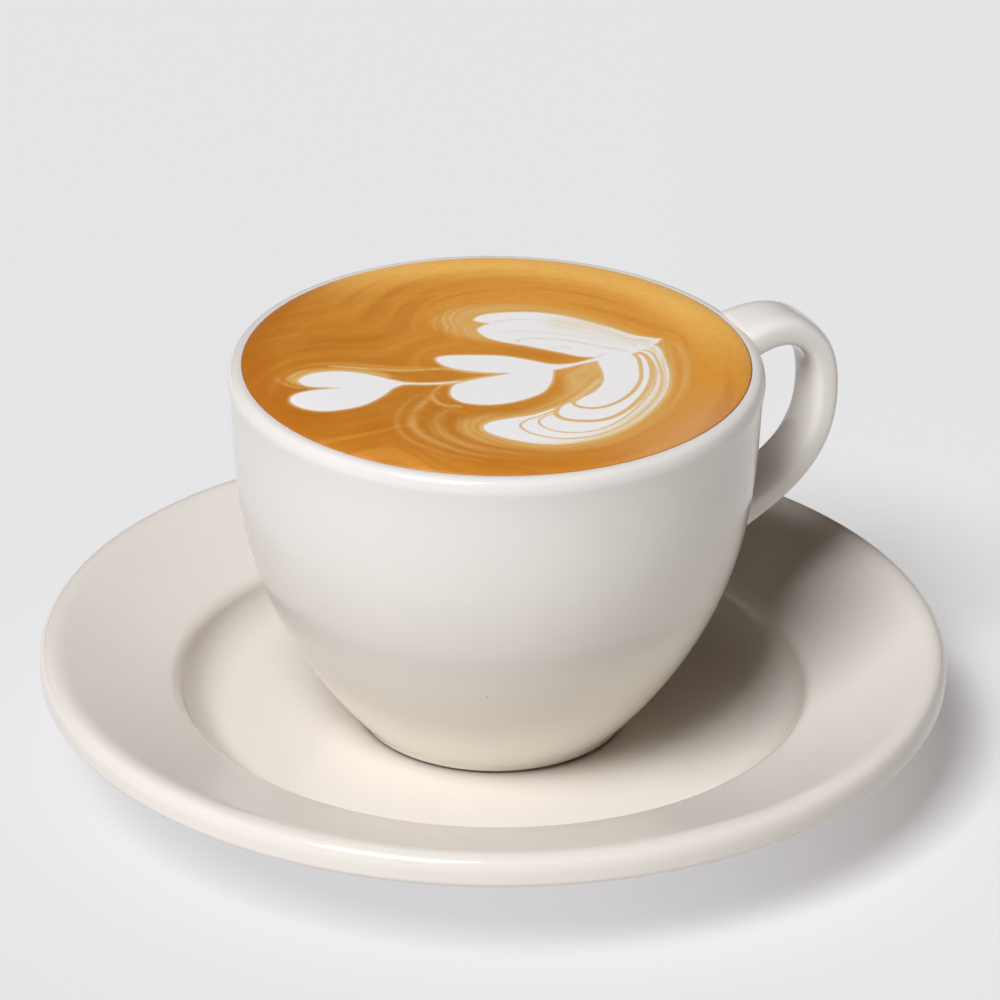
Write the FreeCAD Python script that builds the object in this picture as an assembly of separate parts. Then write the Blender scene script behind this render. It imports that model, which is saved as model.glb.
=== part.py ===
"""A latte in its cup on a saucer: three solids, in millimetres.

The origin is on the table at the centre of the saucer, +Z is up, and the cup's handle points along +X.
Round pieces are half outlines in the plane y = 0, with x as the radius, turned once round the Z axis.
"""
import FreeCAD
import Part

import math
import os

# Saucer
SAUCER_RADIUS = 78.0
SAUCER_FLOOR_HEIGHT = 7.0       # top of the well floor above the table, where the cup stands
SAUCER_FLOOR_THICKNESS = 4.5
SAUCER_WALL_THICKNESS = 4.6     # of the flange where it meets the well
WELL_RADIUS = 54.2              # of the crease between flange and well
WELL_DEPTH = 7.5
WELL_WALL_ANGLE = 72.0          # degrees above level
WELL_ROUND = 9.5
CREASE_ROUND = 0.9
RIM_ROUND = 2.9                 # the rolled rim is a full round
RIM_RISE = 11.4                 # centre of the rolled rim above the well floor
SAUCER_FOOT_INSET = 7.2         # of the foot ring's outside from the crease
SAUCER_FOOT_WIDTH = 3.4
SAUCER_FOOT_ROUND = 0.8
SAUCER_FOOT_TAPER = 0.6         # how much wider each side of the foot is at its root
UNDERSIDE_ROUND = 7.0

# Cup, with heights counted from the saucer's well floor
CUP_HEIGHT = 66.45
LIP_RADIUS = 45.55
LIP_WIDTH = 4.3
LIP_RISE = 1.45                 # of the lip's crest above its widest place
LIP_PROUD = 0.35                # how far the lip stands out from the wall under it
WALL_TOP_DROP = 1.1             # of the wall's top below the lip's widest place
CUP_WALL = 3.5
CUP_BASE_RADIUS = 22.9          # where the belly starts
CUP_BASE_ROUND = 0.9
BELLY_FULLNESS = 1.115          # how far the belly swells, as a share of the room up to the wall's radius
BELLY_HEIGHT = 0.435            # height of that swelling, as a share of the wall's height
SHOULDER_DRAFT = 1.75           # how much narrower the upper wall aims than its top
SHOULDER_HEIGHT = 0.79          # height of that narrower place, as a share of the wall's height
CUP_FOOT_WIDTH = 3.4
CUP_RECESS_DEPTH = 1.2
CUP_FLOOR_THICKNESS = 4.4
CAVITY_FLOOR_INSET = 1.6        # of the cavity's floor from the radius where the belly starts
CAVITY_BELLY_INSET = 1.5        # how far inside the outer belly the cavity's is drawn, in wall thicknesses
CAVITY_BELLY_LIFT = 0.5         # and how far above it
CAVITY_SHOULDER_DROP = 1.25     # how far below the outer shoulder the cavity's is drawn

# Handle, with the route of its middle line
HANDLE_ROOT_DEPTH = 6.0         # how far its ends reach inside the wall's outer face before they are trimmed
HANDLE_TOP_DROP = 3.1           # of its upper root below the wall's top
HANDLE_SPAN = 33.4              # from the upper root down to the lower one
HANDLE_STAND_OUT = 16.0         # how far past the wall's top its middle line is drawn out
# Poles of the loop: share of the way from the wall out to there, and share of the way down the span
HANDLE_LOOP = [(0.28, -0.18), (0.86, -0.08), (1.0, 0.22), (0.90, 0.61), (0.34, 0.83)]
HANDLE_WIDTH = 10.0
HANDLE_TOP_WIDTH = 13.0
HANDLE_BOTTOM_WIDTH = 12.0
HANDLE_THICKNESS = 5.1
HANDLE_ROOT_THICKNESS = 6.4
HANDLE_ROUNDNESS = 2.6          # 2 is an ellipse, and more is squarer
HANDLE_ROOT_FLARE = 3           # a higher power keeps the flare nearer to the roots
HANDLE_SECTIONS = 15
SECTION_POINTS = 16
PARAMETER_STEP = 1e-9           # how closely a height is found along the wall's curve

# Drink
DRINK_EDGE_ANGLE = 98.0         # degrees round the lip, from its outside, where the drink's edge lies
DRINK_CROWN = 1.6               # how far the brimful drink swells above its edge
DRINK_SHOULDER = 0.94           # radius, as a share of the edge's, where it starts to fall away
DRINK_FLAT = 0.7                # how far its level middle pulls outwards, as a share of the shoulder's radius

FULL_TURN = 360.0

# Heights above the table
CUP_BASE = SAUCER_FLOOR_HEIGHT
LIP_LEVEL = CUP_BASE + CUP_HEIGHT - LIP_RISE      # of the lip's widest place
WALL_TOP = LIP_LEVEL - WALL_TOP_DROP
CAVITY_FLOOR = CUP_BASE + CUP_RECESS_DEPTH + CUP_FLOOR_THICKNESS

# Radii from the axis
WALL_TOP_RADIUS = LIP_RADIUS - LIP_PROUD
SAUCER_FOOT_RADIUS = WELL_RADIUS - SAUCER_FOOT_INSET


def at(radius, height):
    """A point of a half outline."""
    return FreeCAD.Vector(radius, 0, height)


def line(start, end):
    return Part.makeLine(start, end)


def arc(start, middle, end):
    """A circular arc, held as a spline so that the surface it sweeps is divided evenly."""
    circle = Part.Arc(start, middle, end).toShape()
    return circle.Curve.toBSpline(circle.FirstParameter, circle.LastParameter).toShape()


def curve(poles):
    """A smooth curve pulled towards its inner points."""
    shape = Part.BezierCurve()
    shape.setPoles(poles)
    return shape.toShape()


def ellipse_arc(centre, half_width, half_height, start, end):
    """Part of an upright ellipse, between angles in degrees counted from its outside over its top."""
    widest = centre + at(half_width, 0)
    top = centre + at(0, half_height)
    ellipse = Part.Ellipse(widest, top, centre)
    return Part.ArcOfEllipse(ellipse, math.radians(start), math.radians(end)).toShape()


def rounded(corners):
    """Edges of an open outline through (point, rounding radius) corners."""
    edges = []
    last = corners[0][0]
    for index in range(1, len(corners) - 1):
        corner, radius = corners[index]
        back = (corners[index - 1][0] - corner).normalize()
        ahead = (corners[index + 1][0] - corner).normalize()
        half_angle = back.getAngle(ahead) / 2
        reach = radius / math.tan(half_angle)
        start = corner + back * reach
        end = corner + ahead * reach
        inward = (back + ahead).normalize()
        middle = corner + inward * (radius / math.sin(half_angle) - radius)
        edges.append(line(last, start))
        edges.append(arc(start, middle, end))
        last = end
    edges.append(line(last, corners[-1][0]))
    return edges


def turned(edges):
    """The solid that a closed half outline sweeps round the Z axis."""
    wire = Part.Wire(Part.__sortEdges__(edges))
    face = Part.Face(wire)
    solid = face.revolve(FreeCAD.Vector(0, 0, 0), FreeCAD.Vector(0, 0, 1), FULL_TURN)
    return Part.Solid(solid) if solid.ShapeType == "Shell" else solid


def offset_corner(corner, normal_a, normal_b, distance):
    """Where two faces that meet in a corner meet again, each moved along its normal by a distance."""
    return corner + (normal_a + normal_b) * (distance / (1 + normal_a.dot(normal_b)))


def saucer():
    floor = SAUCER_FLOOR_HEIGHT
    wall_angle = math.radians(WELL_WALL_ANGLE)
    crease = at(WELL_RADIUS, floor + WELL_DEPTH)
    well_corner = at(WELL_RADIUS - WELL_DEPTH / math.tan(wall_angle), floor)
    rim = at(SAUCER_RADIUS - RIM_ROUND, floor + RIM_RISE)
    to_rim = rim - crease
    slope = math.atan2(to_rim.z, to_rim.x) + math.asin(RIM_ROUND / to_rim.Length)
    outward = at(math.cos(slope), math.sin(slope))
    below_flange = at(math.sin(slope), -math.cos(slope))
    below_wall = at(math.sin(wall_angle), -math.cos(wall_angle))
    below_floor = at(0, -1)
    under_crease = offset_corner(crease, below_flange, below_wall, SAUCER_WALL_THICKNESS)
    under_well = offset_corner(well_corner, below_wall, below_floor, SAUCER_FLOOR_THICKNESS)
    # The underside of the flange runs from under the crease to where it touches the rolled rim from below.
    to_rim_below = rim - under_crease
    slope_below = math.atan2(to_rim_below.z, to_rim_below.x) - math.asin(RIM_ROUND / to_rim_below.Length)
    touch_above = rim - below_flange * RIM_ROUND
    touch_below = rim + at(math.sin(slope_below), -math.cos(slope_below)) * RIM_ROUND
    rim_edge = rim + outward * RIM_ROUND
    top = rounded([
        (at(0, floor), 0),
        (well_corner, WELL_ROUND),
        (crease, CREASE_ROUND),
        (touch_above, 0),
    ])
    rim_above = rim + (rim_edge - rim + touch_above - rim).normalize() * RIM_ROUND
    rim_below = rim + (rim_edge - rim + touch_below - rim).normalize() * RIM_ROUND
    rim_arcs = [
        arc(touch_above, rim_above, rim_edge),
        arc(rim_edge, rim_below, touch_below),
    ]
    root = SAUCER_FOOT_RADIUS + SAUCER_FOOT_TAPER
    foot_inside = SAUCER_FOOT_RADIUS - SAUCER_FOOT_WIDTH
    under = floor - SAUCER_FLOOR_THICKNESS
    bottom = rounded([
        (touch_below, 0),
        (under_crease, UNDERSIDE_ROUND),
        (under_well, UNDERSIDE_ROUND),
        (at(root, under), SAUCER_FOOT_ROUND),
        (at(SAUCER_FOOT_RADIUS, 0), SAUCER_FOOT_ROUND),
        (at(foot_inside, 0), SAUCER_FOOT_ROUND),
        (at(foot_inside - SAUCER_FOOT_TAPER, under), SAUCER_FOOT_ROUND),
        (at(0, under), 0),
    ])
    axis = line(at(0, under), at(0, floor))
    return turned(top + rim_arcs + bottom + [axis])


def belly_poles():
    """Poles of the outer wall, from the base's rounding up to just under the lip."""
    height = WALL_TOP - CUP_BASE
    swell = (WALL_TOP_RADIUS - CUP_BASE_RADIUS) * BELLY_FULLNESS
    return [
        at(CUP_BASE_RADIUS, CUP_BASE + CUP_BASE_ROUND),
        at(CUP_BASE_RADIUS + swell, CUP_BASE + height * BELLY_HEIGHT),
        at(WALL_TOP_RADIUS - SHOULDER_DRAFT, CUP_BASE + height * SHOULDER_HEIGHT),
        at(WALL_TOP_RADIUS, WALL_TOP),
    ]


def cavity_poles():
    """Poles of the inner wall, from the cavity's floor up to the lip's inner side."""
    outer = belly_poles()
    return [
        at(CUP_BASE_RADIUS - CAVITY_FLOOR_INSET, CAVITY_FLOOR),
        outer[1] + at(-CAVITY_BELLY_INSET, CAVITY_BELLY_LIFT) * CUP_WALL,
        outer[2] + at(-1, -CAVITY_SHOULDER_DROP) * CUP_WALL,
        at(LIP_RADIUS - LIP_WIDTH, LIP_LEVEL),
    ]


def lip_centre():
    return at(LIP_RADIUS - LIP_WIDTH / 2, LIP_LEVEL)


def lip_arc(start, end):
    return ellipse_arc(lip_centre(), LIP_WIDTH / 2, LIP_RISE, start, end)


def cup_body():
    """The turned cup without its handle."""
    belly = belly_poles()
    inside = cavity_poles()
    base_edge = CUP_BASE_RADIUS - CUP_BASE_ROUND
    foot_inside = base_edge - CUP_FOOT_WIDTH
    recess = CUP_BASE + CUP_RECESS_DEPTH
    to_arc_middle = CUP_BASE_ROUND * (1 - math.sqrt(0.5))
    under_lip = LIP_LEVEL - WALL_TOP_DROP / 2
    lip_underside = [
        belly[-1],
        at(WALL_TOP_RADIUS, under_lip),
        at(LIP_RADIUS, under_lip),
        at(LIP_RADIUS, LIP_LEVEL),
    ]
    edges = [
        arc(at(base_edge, CUP_BASE), at(CUP_BASE_RADIUS - to_arc_middle, CUP_BASE + to_arc_middle), belly[0]),
        curve(belly),
        curve(lip_underside),
        lip_arc(0, 180),
        curve(inside),
        line(inside[0], at(0, CAVITY_FLOOR)),
        line(at(0, CAVITY_FLOOR), at(0, recess)),
    ]
    edges += rounded([
        (at(0, recess), 0),
        (at(foot_inside - CUP_RECESS_DEPTH, recess), CUP_BASE_ROUND),
        (at(foot_inside, CUP_BASE), CUP_BASE_ROUND / 2),
        (at(base_edge, CUP_BASE), 0),
    ])
    return turned(edges)


def wall_core():
    """Everything inside the middle of the wall, where the handle's ends are trimmed off."""
    poles = [pole - at(CUP_WALL / 2, 0) for pole in belly_poles()]
    above = poles[-1] + at(0, CUP_HEIGHT)
    edges = [
        line(at(0, poles[0].z), poles[0]),
        curve(poles),
        line(poles[-1], above),
        line(above, at(0, above.z)),
        line(at(0, above.z), at(0, poles[0].z)),
    ]
    return turned(edges)


def wall_radius(height):
    """Outer radius of the cup's wall at a height above the table, found by halving."""
    wall = curve(belly_poles())
    low = wall.FirstParameter
    high = wall.LastParameter
    while high - low > PARAMETER_STEP:
        middle = (low + high) / 2
        if wall.valueAt(middle).z < height:
            low = middle
        else:
            high = middle
    return wall.valueAt(low).x


def handle_route():
    """The handle's middle line, from its upper root out over the loop and back to its lower root."""
    top = WALL_TOP - HANDLE_TOP_DROP
    bottom = top - HANDLE_SPAN
    reach = WALL_TOP_RADIUS + HANDLE_STAND_OUT
    poles = [at(wall_radius(top) - HANDLE_ROOT_DEPTH, top)]
    for outward, downward in HANDLE_LOOP:
        height = top - HANDLE_SPAN * downward
        wall = wall_radius(height)
        poles.append(at(wall + (reach - wall) * outward, height))
    poles.append(at(wall_radius(bottom) - HANDLE_ROOT_DEPTH, bottom))
    route = Part.BSplineCurve()
    route.buildFromPoles(poles, False, 3)
    return route


def blend(share, start, middle, end):
    """A size that goes from one root's, through the handle's own, to the other root's."""
    root = start if share < 0.5 else end
    nearness = abs(2 * share - 1) ** HANDLE_ROOT_FLARE
    return middle + (root - middle) * nearness


def strap_section(centre, along, width, thickness):
    """A closed rounded outline across the handle."""
    across = FreeCAD.Vector(0, 1, 0)
    through = along.cross(across).normalize()
    power = 2 / HANDLE_ROUNDNESS
    points = []
    for index in range(SECTION_POINTS):
        angle = 2 * math.pi * index / SECTION_POINTS
        wide = math.copysign(abs(math.cos(angle)) ** power, math.cos(angle)) * width / 2
        thick = math.copysign(abs(math.sin(angle)) ** power, math.sin(angle)) * thickness / 2
        points.append(centre + across * wide + through * thick)
    outline = Part.BSplineCurve()
    outline.interpolate(points, PeriodicFlag=True)
    return Part.Wire(outline.toShape())


def handle():
    """A flattened strap along the handle's route, wider and thicker at its two roots."""
    route = handle_route()
    sections = []
    for index in range(HANDLE_SECTIONS):
        share = index / (HANDLE_SECTIONS - 1)
        place = route.FirstParameter + share * (route.LastParameter - route.FirstParameter)
        along = FreeCAD.Vector(*route.tangent(place)[0])
        width = blend(share, HANDLE_TOP_WIDTH, HANDLE_WIDTH, HANDLE_BOTTOM_WIDTH)
        thickness = blend(share, HANDLE_ROOT_THICKNESS, HANDLE_THICKNESS, HANDLE_ROOT_THICKNESS)
        sections.append(strap_section(route.value(place), along, width, thickness))
    return Part.makeLoft(sections, True)


def cup():
    """The cup with its handle as one piece of ceramic."""
    body = cup_body()
    grip = handle().cut(wall_core())
    joined = body.fuse(grip)
    return joined.Solids[0]


def drink_poles():
    """Poles of the drink's swelling top, from the axis out to its edge on the lip."""
    angle = math.radians(DRINK_EDGE_ANGLE)
    edge = lip_centre() + at(LIP_WIDTH / 2 * math.cos(angle), LIP_RISE * math.sin(angle))
    top = edge.z + DRINK_CROWN
    return [
        at(0, top),
        at(edge.x * DRINK_SHOULDER * DRINK_FLAT, top),
        at(edge.x * DRINK_SHOULDER, top),
        edge,
    ]


def latte():
    """The drink, which fills the cup and swells above its lip."""
    poles = cavity_poles()
    surface = drink_poles()
    edges = [
        line(at(0, poles[0].z), poles[0]),
        curve(poles),
        lip_arc(DRINK_EDGE_ANGLE, 180),
        curve(surface),
        line(surface[0], at(0, poles[0].z)),
    ]
    return turned(edges)


def main():
    os.makedirs("parts", exist_ok=True)
    for name, make in (("saucer", saucer), ("cup", cup), ("latte", latte)):
        shape = make()
        box = shape.BoundBox
        print(name, shape.ShapeType, len(shape.Solids), "valid", shape.isValid(),
              "cm3", round(shape.Volume / 1000, 2), "z", round(box.ZMin, 2), round(box.ZMax, 2),
              "x", round(box.XMin, 2), round(box.XMax, 2))
        shape.exportStep(f"parts/{name}.step")


main()
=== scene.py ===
"""Looks for a brimful latte with milk art, in a glazed cup on its saucer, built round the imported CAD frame.

Lengths are in metres, as in the frame. The outlines, the handle and the milk art are in millimetres.
"""

import math

import bpy
import numpy as np
from mathutils import Matrix, Vector


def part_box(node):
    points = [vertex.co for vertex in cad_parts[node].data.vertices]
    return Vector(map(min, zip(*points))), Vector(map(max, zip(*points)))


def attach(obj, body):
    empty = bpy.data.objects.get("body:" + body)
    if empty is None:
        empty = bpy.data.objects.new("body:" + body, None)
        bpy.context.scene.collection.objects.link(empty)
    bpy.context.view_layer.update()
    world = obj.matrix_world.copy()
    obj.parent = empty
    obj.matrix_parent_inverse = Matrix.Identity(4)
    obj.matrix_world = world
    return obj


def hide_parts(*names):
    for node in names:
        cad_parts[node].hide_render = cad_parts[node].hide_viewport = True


MM = 0.001

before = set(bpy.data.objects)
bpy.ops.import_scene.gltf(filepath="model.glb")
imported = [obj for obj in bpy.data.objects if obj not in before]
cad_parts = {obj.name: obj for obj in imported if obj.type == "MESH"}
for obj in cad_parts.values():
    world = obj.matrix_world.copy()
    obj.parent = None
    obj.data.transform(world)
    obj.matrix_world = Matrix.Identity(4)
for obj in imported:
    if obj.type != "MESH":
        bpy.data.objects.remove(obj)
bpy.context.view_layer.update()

# Camera, aimed from the front left and above
CAMERA_AIM = Vector((7.36, 14.47, 39.63)) * MM
CAMERA_DISTANCE = 1.1254
CAMERA_AZIMUTH = -24.0          # degrees: 0 looks along +Y
CAMERA_ELEVATION = 26.415
CAMERA_ROLL = 0.7515
CAMERA_LENS = 234.0             # millimetres, as is the sensor
CAMERA_SENSOR = 36.0
CAMERA_REACH = 50.0

# Drink
DRINK_CROWN = 1.6 * MM          # how far the surface swells above its edge
DRINK_SHOULDER = 0.94           # radius, as a share of the edge's, where it starts to fall away
DRINK_FLAT = 0.7                # how far its level middle pulls outwards, as a share of the shoulder's radius
DRINK_CURVE_STEPS = 2000
DRINK_RINGS = 140               # rings of the surface mesh, from the middle out to the edge
DRINK_SECTORS = 6               # each ring has this many more points than the one inside it
DRINK_SIDE_RINGS = 14
DRINK_SIDE_DROP = 0.5 * MM      # from the surface's edge down to the first ring on the wall
WALL_REACH = 0.12 * MM          # how far the drink reaches into the cup's wall

# Saucer outline in millimetres: radius, height and rounding of each corner, from the middle of its top
SAUCER_TOP = [(0.0, 7.0, 0.0), (51.8, 7.0, 8.2), (54.2, 14.5, 3.4), (73.2, 20.82, 0.0)]
SAUCER_RIM = [(73.2, 20.82), (76.9, 22.05), (78.0, 20.7), (78.0, 18.6)]     # pulled round like a bent rod
SAUCER_UNDERSIDE = [(78.0, 18.6, 0.0), (78.0, 16.2, 1.3), (57.9, 10.9, 7.0), (55.0, 2.5, 7.0),
                    (47.6, 2.5, 0.8), (47.0, 0.0, 0.8), (43.6, 0.0, 0.8), (43.0, 2.5, 0.8), (0.0, 2.5, 0.0)]
SAUCER_RIM_STEPS = 28
SAUCER_SIDES = 288
FLANGE_SHARES = (0.25, 0.5, 0.75)       # where rings cross the flange, so that it shades evenly

# Cup outline in millimetres: the curves of its inner wall, lip and outer wall, and the corners of its base
CUP_CAVITY = [(21.3, 12.6), (42.51, 36.55), (39.95, 53.1), (41.25, 71.6)]
CUP_LIP_INSIDE = [(41.25, 71.6), (41.25, 72.9), (42.3, 73.45), (43.4, 73.45)]
CUP_LIP_OUTSIDE = [(43.4, 73.45), (44.9, 73.45), (45.42, 72.5), (45.4, 70.9)]
CUP_BELLY = [(45.4, 70.9), (43.45, 57.48), (47.76, 34.8), (22.9, 7.9)]
CUP_BASE = [(22.9, 7.9, 0.0), (22.9, 7.0, 0.85), (18.6, 7.0, 0.45), (17.4, 8.2, 0.6), (0.0, 8.2, 0.0)]
CUP_CURVES = [(CUP_CAVITY, 24), (CUP_LIP_INSIDE, 10), (CUP_LIP_OUTSIDE, 18), (CUP_BELLY, 60)]  # and steps
CUP_BASE_STEPS = 6
CUP_SIDES = 256

# Handle, in millimetres: poles of its middle line as radius and height, and its cross sections
HANDLE_ROUTE = [(39.0, 67.8), (49.4, 73.81), (58.9, 70.47), (61.2, 60.45), (59.4, 47.43), (48.9, 40.08),
                (35.6, 34.4)]
HANDLE_WIDTH = 10.2
HANDLE_THICKNESS = 5.1
HANDLE_TOP_WIDENING = 3.0
HANDLE_BOTTOM_WIDENING = 2.0
HANDLE_THICKENING = 1.2
HANDLE_END_POWER = 3            # the higher, the nearer to its ends the handle widens and thickens
HANDLE_SQUARENESS = 3.4         # 2 is an ellipse, and more is squarer
HANDLE_ROOT_FLARE = 0.8         # how far the glaze flares out where the handle meets the wall
HANDLE_FLARE_REACH = 3.0        # how far from the wall the flare has shrunk to about a third
HANDLE_SINK = 1.7               # how deep the handle's ends lie in the wall
HANDLE_WALL_STEPS = 400
HANDLE_SECTIONS = 96
HANDLE_SIDES = 48

# The milk art's own axes are turned from the part's
ART_TURN = math.radians(24.0)


def view_direction(azimuth, elevation):
    """From the object towards an eye at that azimuth and elevation, in degrees."""
    a = math.radians(azimuth)
    e = math.radians(elevation)
    return Vector((math.sin(a) * math.cos(e), -math.cos(a) * math.cos(e), math.sin(e)))


def make_camera():
    camera = bpy.data.objects.new("camera", bpy.data.cameras.new("camera"))
    bpy.context.scene.collection.objects.link(camera)
    back = view_direction(CAMERA_AZIMUTH, CAMERA_ELEVATION)
    turn = back.to_track_quat("Z", "Y").to_matrix().to_4x4()
    roll = Matrix.Rotation(math.radians(CAMERA_ROLL), 4, "Z")
    camera.matrix_world = Matrix.Translation(CAMERA_AIM + back * CAMERA_DISTANCE) @ turn @ roll
    camera.data.lens = CAMERA_LENS
    camera.data.sensor_width = CAMERA_SENSOR
    camera.data.clip_end = CAMERA_REACH
    bpy.context.scene.camera = camera


# ---------------------------------------------------------------- node materials

def colour(red, green, blue):
    """A colour given in 0 to 255 display values, as the linear values that shaders take."""
    linear = []
    for value in (red, green, blue):
        share = value / 255
        linear.append(share / 12.92 if share <= 0.04045 else ((share + 0.055) / 1.055) ** 2.4)
    return (*linear, 1.0)


class Shader:
    """A node material under construction: each method adds a node and returns its output."""

    def __init__(self, name):
        self.material = bpy.data.materials.new(name)
        self.material.use_nodes = True
        self.tree = self.material.node_tree
        self.surface = self.tree.nodes["Principled BSDF"]

    def node(self, kind, **settings):
        made = self.tree.nodes.new(kind)
        for key, value in settings.items():
            setattr(made, key, value)
        return made

    def feed(self, socket, value):
        if isinstance(value, bpy.types.NodeSocket):
            self.tree.links.new(value, socket)
        else:
            socket.default_value = value

    def math(self, operation, *values, clamp=False):
        made = self.node("ShaderNodeMath", operation=operation, use_clamp=clamp)
        for socket, value in zip(made.inputs, values):
            self.feed(socket, value)
        return made.outputs[0]

    def step(self, value, start, end):
        """0 before start and 1 after end, smooth in between. End may come before start."""
        made = self.node("ShaderNodeMapRange", interpolation_type="SMOOTHSTEP")
        low, high = (start, end) if start < end else (end, start)
        self.feed(made.inputs["Value"], value)
        made.inputs["From Min"].default_value = low
        made.inputs["From Max"].default_value = high
        made.inputs["To Min"].default_value = 0.0 if start < end else 1.0
        made.inputs["To Max"].default_value = 1.0 if start < end else 0.0
        return made.outputs["Result"]

    def mix(self, factor, first, second):
        made = self.node("ShaderNodeMix", data_type="RGBA")
        self.feed(made.inputs["Factor"], factor)
        self.feed(made.inputs[6], first)
        self.feed(made.inputs[7], second)
        return made.outputs[2]

    def attribute(self, name):
        return self.node("ShaderNodeAttribute", attribute_name=name).outputs["Fac"]

    def position(self):
        return self.node("ShaderNodeTexCoord").outputs["Object"]

    def split(self, vector):
        made = self.node("ShaderNodeSeparateXYZ")
        self.feed(made.inputs[0], vector)
        return made.outputs

    def join(self, x, y, z):
        made = self.node("ShaderNodeCombineXYZ")
        for socket, value in zip(made.inputs, (x, y, z)):
            self.feed(socket, value)
        return made.outputs[0]

    def poured(self, flow, place, across_flow, along_flow):
        """A place for noise that is drawn out along the lines of the pour."""
        x, y, _ = self.split(place)
        return self.join(self.math("MULTIPLY", flow, across_flow), self.math("MULTIPLY", x, along_flow),
                         self.math("MULTIPLY", y, along_flow))

    def noise(self, vector, size, detail=2.0, roughness=0.5):
        """Noise whose features are about size across, in the vector's own unit."""
        made = self.node("ShaderNodeTexNoise")
        self.feed(made.inputs["Vector"], vector)
        made.inputs["Scale"].default_value = 1 / size
        made.inputs["Detail"].default_value = detail
        made.inputs["Roughness"].default_value = roughness
        return made.outputs["Fac"]

    def dots(self, vector, spacing, radius, share):
        """1 in round dots, one in each cell of that spacing, of which only a share are there."""
        made = self.node("ShaderNodeTexVoronoi")
        self.feed(made.inputs["Vector"], vector)
        made.inputs["Scale"].default_value = 1 / spacing
        inside = self.step(made.outputs["Distance"], radius / spacing, 0.4 * radius / spacing)
        chosen = self.math("LESS_THAN", self.split(made.outputs["Color"])[0], share)
        return self.math("MULTIPLY", inside, chosen)

    def bump(self, height, distance, strength=1.0, normal=None):
        made = self.node("ShaderNodeBump")
        self.feed(made.inputs["Height"], height)
        made.inputs["Distance"].default_value = distance
        made.inputs["Strength"].default_value = strength
        if normal is not None:
            self.feed(made.inputs["Normal"], normal)
        return made.outputs[0]


SAUCER_GLAZE = colour(229, 222, 213)
CUP_GLAZE = colour(230, 225, 218)
# Painted bounce light: the cup's glaze turns paler towards its foot, as if lit from the saucer below
PAINTED_BOUNCE_GLAZE = colour(247, 242, 230)
# Bare clay of the cup's foot ring, darkened as painted shade where the cup sits on the saucer
CUP_FOOT_CLAY_AND_SHADE = colour(128, 92, 58)
GLAZE_SPECK = colour(150, 128, 104)
BISQUE = colour(214, 200, 180)

GLAZE_CLOUDS = 22 * MM
GLAZE_DEEPER = 0.985            # the darker clouds' colour, as a share of the glaze's
BOUNCE_TOP = 42 * MM              # painted bounce light pales the cup's glaze between these heights
BOUNCE_BOTTOM = 16 * MM
SPECK_SPACING = 5.5 * MM
SPECK_RADIUS = 0.22 * MM
SPECK_SHARE = 0.05
SPECK_STRENGTH = 0.55
SAUCER_BARE_HEIGHT = 0.5 * MM   # the clay is bare below these heights
CUP_BARE_HEIGHT = 7.75 * MM
BARE_EDGE = 0.25 * MM           # over which the glaze ends
CLAY_ROUGHNESS = 0.8
GLAZE_ROUGHNESS = 0.07
GLAZE_SMEARS = 9 * MM
SMEAR_ROUGHNESS = 0.05
GLAZE_RIPPLES = 7 * MM
RIPPLE_HEIGHT = 0.05 * MM
RIPPLE_STRENGTH = 0.35
GLAZE_GRAIN = 0.25 * MM
GRAIN_HEIGHT = 0.004 * MM
GLAZE_IOR = 1.52


def glaze_material(name, glaze, clay, bare_height, painted_bounce=None):
    """Ivory glaze over clay, bare on the foot ring below bare_height, with optional painted bounce light low
    down.
    """
    shader = Shader(name)
    place = shader.position()
    clouds = shader.noise(place, GLAZE_CLOUDS, 3)
    deeper = tuple(GLAZE_DEEPER * part for part in glaze[:3]) + (1.0,)
    tone = shader.mix(shader.step(clouds, 0.35, 0.65), glaze, deeper)
    height = shader.split(place)[2]
    # Painted bounce light: paler towards the foot
    if painted_bounce:
        tone = shader.mix(shader.step(height, BOUNCE_TOP, BOUNCE_BOTTOM), tone, painted_bounce)
    specks = shader.dots(place, SPECK_SPACING, SPECK_RADIUS, SPECK_SHARE)
    tone = shader.mix(shader.math("MULTIPLY", specks, SPECK_STRENGTH), tone, GLAZE_SPECK)
    # Bare clay on the foot ring; on the cup its dark colour is also painted shade where it meets the saucer
    bare = shader.step(height, bare_height, bare_height - BARE_EDGE)
    tone = shader.mix(bare, tone, clay)
    smears = shader.noise(place, GLAZE_SMEARS, 4, 0.6)
    glossy = shader.math("MULTIPLY_ADD", smears, SMEAR_ROUGHNESS, GLAZE_ROUGHNESS)
    rough = shader.math("MAXIMUM", glossy, shader.math("MULTIPLY", bare, CLAY_ROUGHNESS))
    ripple = shader.bump(shader.noise(place, GLAZE_RIPPLES, 2), RIPPLE_HEIGHT, RIPPLE_STRENGTH)
    grain = shader.noise(place, GLAZE_GRAIN, 4, 0.7)
    fine = shader.bump(grain, GRAIN_HEIGHT, 1.0, ripple)
    shader.feed(shader.surface.inputs["Base Color"], tone)
    shader.feed(shader.surface.inputs["Roughness"], rough)
    shader.feed(shader.surface.inputs["Normal"], fine)
    shader.surface.inputs["IOR"].default_value = GLAZE_IOR
    return shader.material


# ---------------------------------------------------------------- shapes shared by the pieces

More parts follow.
